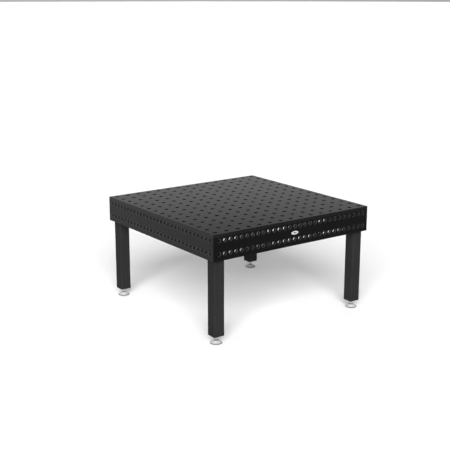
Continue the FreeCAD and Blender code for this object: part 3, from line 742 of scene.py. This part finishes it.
def add_hexagon(bm, spot, flats, height, bore, face, per_side=8):
    """A hexagon bevelled at 30 degrees at both ends, with a round bore if bore > 0."""
    count = 6 * per_side
    slope = math.tan(math.radians(30))
    bore_ease = 0.8 * MM if bore else 0
    rings = [[], [], [], [], [], [], [], []]
    for index in range(count):
        angle = math.tau * index / count
        off = (angle + math.radians(30)) % math.radians(60) - math.radians(30)
        edge = flats / 2 / math.cos(off)
        drop = max(0, edge - face / 2) * slope
        spots = [
            (bore, bore_ease),
            (bore + bore_ease, 0),
            (min(face / 2, edge), 0),
            (edge, drop),
            (edge, height - drop),
            (min(face / 2, edge), height),
            (bore + bore_ease, height),
            (bore, height - bore_ease),
        ]
        for ring, (radius, rise) in zip(rings, spots):
            ring.append(bm.verts.new((spot.x + radius * math.cos(angle),
                                      spot.y + radius * math.sin(angle), spot.z + rise)))
    if bore:
        ring_mesh(bm, rings)
        return
    for low, high in zip(rings[2:5], rings[3:6]):
        for index in range(count):
            after = (index + 1) % count
            bm.faces.new((low[index], low[after], high[after], high[index]))
    bm.faces.new(list(reversed(rings[2])))
    bm.faces.new(rings[5])
    for ring in (rings[0], rings[1], rings[6], rings[7]):
        bmesh.ops.delete(bm, geom=ring, context="VERTS")


def make_nut(corner):
    node = f"lock_nut_{corner}"
    low, high = box_of(node)
    spot = (low + high) / 2
    spot.z = low.z
    bm = bmesh.new()
    add_hexagon(bm, spot, high.y - low.y, high.z - low.z, 12.08 * MM, 34.5 * MM)
    add_piece(f"{node}_fine", bm, [ZINC], f"nut_{corner}", [node], smooth=28)


def make_washer(corner):
    node = f"lock_washer_{corner}"
    low, high = box_of(node)
    spot = (low + high) / 2
    spot.z = low.z
    outer = (high.x - low.x) / 2
    thick = high.z - low.z
    inner = 12.3 * MM
    ease = 0.5 * MM
    outline = soften([(inner, 0, ease), (outer, 0, ease), (outer, thick, ease),
                      (inner, thick, ease)], closed=True)
    bm = bmesh.new()
    lathe(bm, outline, spot, closed=True)
    add_piece(f"{node}_fine", bm, [ZINC], f"washer_{corner}", [node])


def make_spindle(corner):
    """M24 x 3 thread cut as a right-hand helix, over a plain shoulder and journal."""
    node = f"foot_spindle_{corner}"
    low, high = box_of(node)
    centre = (low + high) / 2
    major = (high.x - low.x) / 2
    pitch = 3 * MM
    depth = 1.7 * MM
    journal = 7 * MM
    shoulder = 30.8 * MM
    per_pitch = 8
    count = 48
    ease = 2 * MM
    chamfer = 0.5 * MM
    run_in = shoulder + 1.5 * MM
    crest, slope = 0.08, 0.34
    bm = bmesh.new()
    rings = []

    def ring(height, radius_at):
        verts = []
        for index in range(count):
            angle = math.tau * index / count
            radius = radius_at(index / count)
            verts.append(bm.verts.new((centre.x + radius * math.cos(angle),
                                       centre.y + radius * math.sin(angle), height)))
        rings.append(verts)

    def plain(radius):
        return lambda part: radius

    ring(low.z, plain(journal - chamfer))
    ring(low.z + chamfer, plain(journal))
    ring(shoulder, plain(journal))
    ring(shoulder, plain(major - 1.5 * MM))
    rows = int((high.z - run_in) / pitch * per_pitch)
    for row in range(rows + 1):
        height = run_in + row * pitch / per_pitch
        end = min(1, (height - run_in) / ease, (high.z - height) / ease)

        def flank(part, height=height, end=end):
            """Radius of the thread at a turn's part: flat crest, sloped flanks, flat root."""
            phase = (height / pitch - part) % 1
            ramp = min(1, max(0, (abs(phase - 0.5) - crest) / slope))
            return major - depth * (ramp * end + (1 - end))

        ring(height, flank)
    ring(high.z, plain(major - ease))
    for lower, upper in zip(rings, rings[1:]):
        for index in range(count):
            after = (index + 1) % count
            bm.faces.new((lower[index], lower[after], upper[after], upper[index]))
    bm.faces.new(list(reversed(rings[0])))
    bm.faces.new(rings[-1])
    add_piece(f"{node}_fine", bm, [ZINC], f"spindle_{corner}", [node], smooth=35)


def make_ball(corner):
    node = f"swivel_ball_{corner}"
    low, high = box_of(node)
    radius = 14 * MM
    foot = -12 * MM
    head = 10.5 * MM
    bore = 7.05 * MM
    bore_end = -7.8 * MM
    spot = (low + high) / 2
    spot.z = low.z - foot
    start = math.asin(foot / radius)
    stop = math.asin(head / radius)
    outline = [(0, foot)]
    for step in range(25):
        angle = start + (stop - start) * step / 24
        outline.append((radius * math.cos(angle), radius * math.sin(angle)))
    outline += [(bore, head), (bore, bore_end), (0, bore_end)]
    bm = bmesh.new()
    lathe(bm, outline, spot)
    add_piece(f"{node}_fine", bm, [BALL_STEEL], f"ball_{corner}", [node])


def make_disc(corner):
    """Chromed disc: rim, hollow-flared cone, neck, and the ball's socket. The cone takes a bright
    copy of the chrome, a painted highlight, and the rim and neck a dull copy, painted shade.
    """
    node = f"foot_disc_{corner}"
    low, high = box_of(node)
    spot = (low + high) / 2
    spot.z = 0
    rim = (high.x - low.x) / 2
    ball_z = 20 * MM
    socket = 14.05 * MM
    seat = 40 * MM
    seat_top = 6 * MM
    socket_floor = 7 * MM
    neck_low, neck_radius = 22.5 * MM, 16 * MM
    rim_top = 9.5 * MM
    outline = soften([
        (0, seat_top, 0),
        (seat, seat_top, 0.4 * MM),
        (seat, low.z, 0.4 * MM),
        (rim, low.z, 1 * MM),
        (rim, low.z + 7 * MM, 2.4 * MM),
        (20 * MM, 22 * MM, 3.5 * MM),
        (17.5 * MM, 23 * MM, 0.5 * MM),
        (17.5 * MM, high.z, 1.2 * MM),
        (math.sqrt(socket ** 2 - (high.z - ball_z) ** 2), high.z, 0),
    ])
    stop = math.asin((socket_floor - ball_z) / socket)
    start = math.asin((high.z - ball_z) / socket)
    for step in range(1, 21):
        angle = start + (stop - start) * step / 20
        outline.append(Vector((socket * math.cos(angle), ball_z + socket * math.sin(angle))))
    outline.append(Vector((0, socket_floor)))
    bm = bmesh.new()
    lathe(bm, outline, spot, count=96)
    # Rim and neck faces take the dull copy, painted shade; the cone keeps the bright copy, a
    # painted highlight
    for face in bm.faces:
        middle = face.calc_center_median()
        neck = middle.z > neck_low and (middle - spot).xy.length > neck_radius
        face.material_index = neck or middle.z < rim_top
    add_piece(f"{node}_fine", bm, [CHROME_PAINTED_HIGHLIGHT, RIM_PAINTED_SHADE], f"disc_{corner}", [node])


def make_pad(corner):
    node = f"foot_pad_{corner}"
    low, high = box_of(node)
    spot = (low + high) / 2
    spot.z = 0
    reach = (high.x - low.x) / 2 - 0.2 * MM
    outline = soften([(0, 0, 0), (reach, 0, 1 * MM), (reach, high.z, 0.5 * MM), (0, high.z, 0)])
    bm = bmesh.new()
    lathe(bm, outline, spot)
    add_piece(f"{node}_fine", bm, [RUBBER], f"disc_{corner}", [node])


def bolt_spots():
    """Centres of the head plates' bolts, from the plates' outer corners."""
    spots = []
    for corner in CORNERS:
        low, high = box_of(f"leg_head_plate_{corner}")
        sign_x = 1 if low.x > 0 else -1
        sign_y = 1 if low.y > 0 else -1
        outer_x = max(abs(low.x), abs(high.x))
        outer_y = max(abs(low.y), abs(high.y))
        for in_x, in_y in BOLT_INSETS:
            spots.append(Vector((sign_x * (outer_x - in_x * MM), sign_y * (outer_y - in_y * MM),
                                 0)))
    return spots


def make_bolts():
    low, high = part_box("leg_bolts")
    washer_low, washer_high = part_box("leg_bolt_washers")
    head = washer_low[2] - low[2]
    reach = high[2] - washer_low[2]
    radius, point = 6 * MM, 1 * MM
    shank = [(0, 0), (radius, 0), (radius, reach - point), (radius - point, reach), (0, reach)]
    bm = bmesh.new()
    for spot in bolt_spots():
        spot.z = low[2]
        add_hexagon(bm, spot, 18 * MM, head, 0, 17 * MM, per_side=6)
        spot.z = washer_low[2]
        lathe(bm, shank, spot, count=24)
    add_piece("leg_bolts_fine", bm, [ZINC], "table", ["leg_bolts"], smooth=28)
    bm = bmesh.new()
    thick = washer_high[2] - washer_low[2]
    ease = 0.4 * MM
    inner, outer = 6.75 * MM, 12 * MM
    outline = soften([(inner, 0, ease), (outer, 0, ease), (outer, thick, ease),
                      (inner, thick, ease)], closed=True)
    for spot in bolt_spots():
        spot.z = washer_low[2]
        lathe(bm, outline, spot, count=40, closed=True)
    add_piece("leg_bolt_washers_fine", bm, [ZINC], "table", ["leg_bolt_washers"])


def make_legs():
    make_bolts()
    for corner in CORNERS:
        make_leg_tube(corner)
        make_nut(corner)
        make_washer(corner)
        make_spindle(corner)
        make_ball(corner)
        make_disc(corner)
        make_pad(corner)


# ---------------------------------------------------------------- badge

# From (across, up, out of the front) to the part's frame
FRONT = Matrix(((1, 0, 0, 0), (0, 0, -1, 0), (0, 1, 0, 0), (0, 0, 0, 1)))
BADGE_FIELD = 1.6 * MM
# Lozenges on the field, in millimetres: place across, half width, half height
ORNAMENT = ((0, 13, 7.5), (-17.8, 4.4, 4.4), (17.8, 4.4, 4.4))


def make_badge():
    """Oval plate with a raised rim, a white field and a plain dark ornament."""
    low, high = box_of("badge_plate")
    wide = (high.x - low.x) / 2
    tall = (high.z - low.z) / 2
    centre_x = (low.x + high.x) / 2
    centre_z = (low.z + high.z) / 2
    back = -high.y
    thick = high.y - low.y
    count = BADGE_STEPS
    bm = bmesh.new()
    profile = [(0.2 * MM, 0), (0, 0.2 * MM), (0, thick - 0.4 * MM), (0.12 * MM, thick - 0.12 * MM),
               (0.4 * MM, thick), (2.8 * MM, thick), (3.1 * MM, thick - 0.1 * MM),
               (3.3 * MM, BADGE_FIELD)]
    rings = []
    for inset, rise in profile:
        ring = []
        for index in range(count):
            angle = math.tau * index / count
            ring.append(bm.verts.new((centre_x + (wide - inset) * math.cos(angle),
                                      centre_z + (tall - inset) * math.sin(angle), back + rise)))
        rings.append(ring)
    for inner, outer in zip(rings, rings[1:]):
        for index in range(count):
            after = (index + 1) % count
            bm.faces.new((inner[index], inner[after], outer[after], outer[index]))
    bm.faces.new(list(reversed(rings[0])))
    field = bm.faces.new(rings[-1])
    field.material_index = 1
    for across, half_wide, half_tall in ORNAMENT:
        levels = []
        for inset, rise in ((0, -0.2 * MM), (0, 0.1 * MM), (0.2, 0.16 * MM)):
            level = []
            for turn_x, turn_z in ((1, 0), (0, 1), (-1, 0), (0, -1)):
                level.append(bm.verts.new((
                    centre_x + (across + turn_x * (half_wide - inset)) * MM,
                    centre_z + turn_z * (half_tall - inset) * MM,
                    back + BADGE_FIELD + rise)))
            levels.append(level)
        faces = []
        for lower, upper in zip(levels, levels[1:]):
            for index in range(4):
                after = (index + 1) % 4
                faces.append(bm.faces.new((lower[index], lower[after], upper[after],
                                           upper[index])))
        faces.append(bm.faces.new(levels[-1]))
        faces.append(bm.faces.new(list(reversed(levels[0]))))
        for face in faces:
            face.material_index = 2
    bm.transform(FRONT)
    add_piece("badge_plate_fine", bm, [BADGE_METAL, BADGE_WHITE, BADGE_DARK], "table",
              ["badge_plate"])

    low, high = box_of("badge_rivets")
    stem = 1.5 * MM
    head = 2.5 * MM
    under = back + BADGE_FIELD + high.y
    top = high.y - low.y
    outline = [(0, 0), (stem, 0), (stem, under), (head, under), (head * 0.98, under + 0.25 * MM),
               (head * 0.84, under + 0.45 * MM), (head * 0.56, top - 0.1 * MM),
               (head * 0.28, top - 0.02 * MM), (0, top)]
    bm = bmesh.new()
    for spot_x in (low.x + head, high.x - head):
        lathe(bm, outline, (spot_x, (low.z + high.z) / 2, -high.y), count=40)
    bm.transform(FRONT)
    add_piece("badge_rivets_fine", bm, [ZINC], "table", ["badge_rivets"])


# ---------------------------------------------------------------- carried-over nodes

def paint_frame():
    """Give every CAD node that stays its own procedural material."""
    looks = {
        "leg_head_plate": PLATE_PAINT,
        "leg_insert": PLATE_PAINT,
        "leg_post": LEG_PAINT,
    }
    for node, thing in frame["nodes"].items():
        for start, material in looks.items():
            if node.startswith(start):
                thing.data.materials.clear()
                thing.data.materials.append(material)


# ---------------------------------------------------------------- stage

# The surround is brightest towards BRIGHT_SIDE, and WORLD_HEIGHTS is (rise, grey) upwards
BRIGHT_SIDE = (-0.3, 0.954, 0)
WORLD_DARK = 0.29
WORLD_BRIGHT = 1.0
WORLD_HEIGHTS = [(-1, 0.52), (0.0, 0.52), (0.06, 0.56), (0.2, 0.61), (0.233, 0.56), (0.255, 0.14),
                 (1.0, 0.14)]
KEY_STRENGTH = 5.0
RING_STRENGTH = 0.6


def make_floor():
    bm = bmesh.new()
    bmesh.ops.create_circle(bm, cap_ends=True, segments=64, radius=120)
    mesh = bpy.data.meshes.new("floor")
    bm.to_mesh(mesh)
    bm.free()
    surface = Surface("studio_floor", specular=0.0)
    surface.colour(surface.ramp(surface.noise(0.8, 2), [(0.3, 0.90), (0.7, 0.91)]))
    surface.shader.inputs["Roughness"].default_value = 1.0
    mesh.materials.append(surface.material)
    floor = bpy.data.objects.new("floor", mesh)
    bpy.context.scene.collection.objects.link(floor)
    floor.visible_glossy = False
    return floor


def make_world():
    """A soft grey surround, darker overhead and towards the front right."""
    world = bpy.data.worlds.new("studio")
    world.use_nodes = True
    tree = world.node_tree
    place = tree.nodes.new("ShaderNodeTexCoord")
    side = tree.nodes.new("ShaderNodeVectorMath")
    side.operation = "DOT_PRODUCT"
    side.inputs[1].default_value = BRIGHT_SIDE
    tree.links.new(place.outputs["Generated"], side.inputs[0])
    level = tree.nodes.new("ShaderNodeMapRange")
    level.inputs["From Min"].default_value = -1
    level.inputs["To Min"].default_value = WORLD_DARK
    level.inputs["To Max"].default_value = WORLD_BRIGHT
    tree.links.new(side.outputs["Value"], level.inputs["Value"])
    split = tree.nodes.new("ShaderNodeSeparateXYZ")
    tree.links.new(place.outputs["Generated"], split.inputs["Vector"])
    rise_part = tree.nodes.new("ShaderNodeMapRange")
    rise_part.inputs["From Min"].default_value = -1
    tree.links.new(split.outputs["Z"], rise_part.inputs["Value"])
    height = tree.nodes.new("ShaderNodeValToRGB")
    band = height.color_ramp
    while len(band.elements) < len(WORLD_HEIGHTS):
        band.elements.new(0.5)
    for element, (rise, tone) in zip(band.elements, WORLD_HEIGHTS):
        element.position = (rise + 1) / 2
        element.color = (tone, tone, tone, 1)
    tree.links.new(rise_part.outputs["Result"], height.inputs["Fac"])
    background = tree.nodes["Background"]
    tree.links.new(height.outputs["Color"], background.inputs["Color"])
    tree.links.new(level.outputs["Result"], background.inputs["Strength"])
    bpy.context.scene.world = world


def add_sun(name, strength, width, azimuth, elevation, lit=None):
    """A wide soft sun.  Azimuth is from the front towards +X; lit limits what it shines on."""
    light = bpy.data.lights.new(name, "SUN")
    light.energy = strength
    light.angle = math.radians(width)
    lamp = bpy.data.objects.new(name, light)
    turn = math.radians(azimuth)
    rise = math.radians(elevation)
    towards = Vector((math.sin(turn) * math.cos(rise), -math.cos(turn) * math.cos(rise),
                      math.sin(rise)))
    lamp.rotation_euler = towards.to_track_quat("Z", "Y").to_euler()
    bpy.context.scene.collection.objects.link(lamp)
    if lit:
        lamp.light_linking.receiver_collection = lit
    return lamp


def make_lights(floor):
    """A key from behind the camera, and a ring of low lights that only soften its shadow."""
    stage = bpy.data.collections.new("floor_only")
    stage.objects.link(floor)
    key = add_sun("key", KEY_STRENGTH, width=42, azimuth=-38, elevation=28)
    key.visible_glossy = False
    for index in range(8):
        add_sun(f"ring_{index}", RING_STRENGTH, width=40, azimuth=45 * index, elevation=12,
                lit=stage)


def make_camera():
    """Eye level a little above the top, off the table's front left corner."""
    aim = Vector((-0.29177, -0.25731, 0.750))
    place = Vector((-4.37164, -5.89215, 2.57756))
    lens = bpy.data.cameras.new("camera")
    lens.sensor_width = 36
    lens.lens = 74.18
    lens.clip_end = 500
    camera = bpy.data.objects.new("camera", lens)
    camera.location = place
    camera.rotation_euler = (aim - place).to_track_quat("-Z", "Y").to_euler()
    bpy.context.scene.collection.objects.link(camera)
    bpy.context.scene.camera = camera


make_camera()
make_world()
make_lights(make_floor())
bpy.context.scene.view_settings.view_transform = "Standard"
make_top()
make_walls()
make_ribs()
make_welds()
make_legs()
make_badge()
paint_frame()
